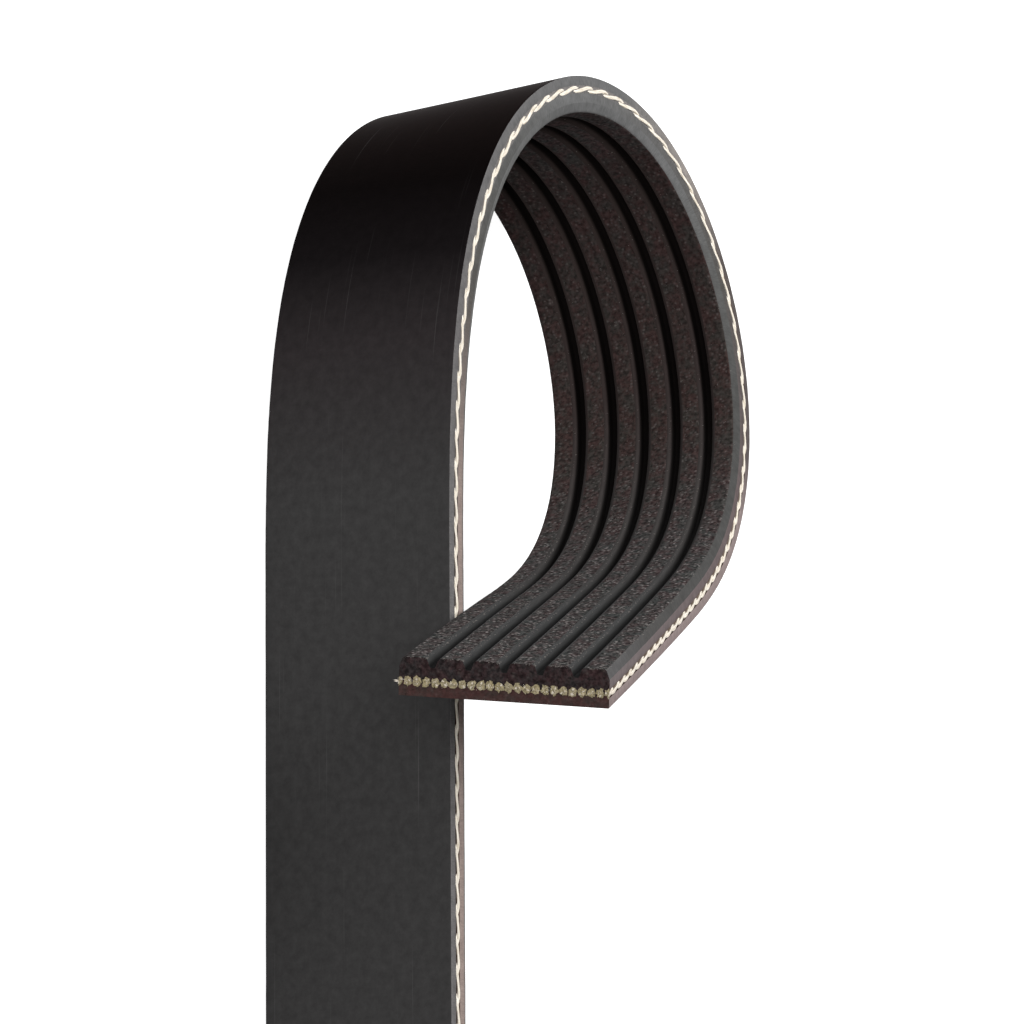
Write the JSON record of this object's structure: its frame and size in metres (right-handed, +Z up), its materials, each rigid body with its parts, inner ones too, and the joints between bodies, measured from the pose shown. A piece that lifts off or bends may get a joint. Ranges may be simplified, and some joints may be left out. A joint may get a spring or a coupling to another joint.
{
  "type": "serpentine belt",
  "caption": "Cut length of ribbed serpentine drive belt lying on its side edge, curled so that its free end crosses over the straight.",
  "frame": {"origin": "middle of the bounding box's base, on the surface that the belt lies on", "axes": "+X along the straight towards its cut end, +Y the way the ribs of the straight face, +Z up across the belt's width"},
  "size_m": [0.1322, 0.079, 0.0499],
  "materials": {
    "rubber": "matte black vulcanised rubber, smooth back and fibre-filled ribs",
    "cord": "undyed twisted polyester cord"
  },
  "bodies": {
    "root": {"rubber_body": "rubber", "cord_01": "cord", "cord_02": "cord", "cord_03": "cord", "cord_04": "cord", "cord_05": "cord", "cord_06": "cord", "cord_07": "cord", "cord_08": "cord", "cord_09": "cord", "cord_10": "cord", "cord_11": "cord", "cord_12": "cord", "cord_13": "cord", "cord_14": "cord", "cord_15": "cord", "cord_16": "cord", "cord_17": "cord", "cord_18": "cord", "cord_19": "cord", "cord_20": "cord", "cord_21": "cord", "cord_22": "cord", "cord_23": "cord", "cord_24": "cord"}
  },
  "joints": []
}
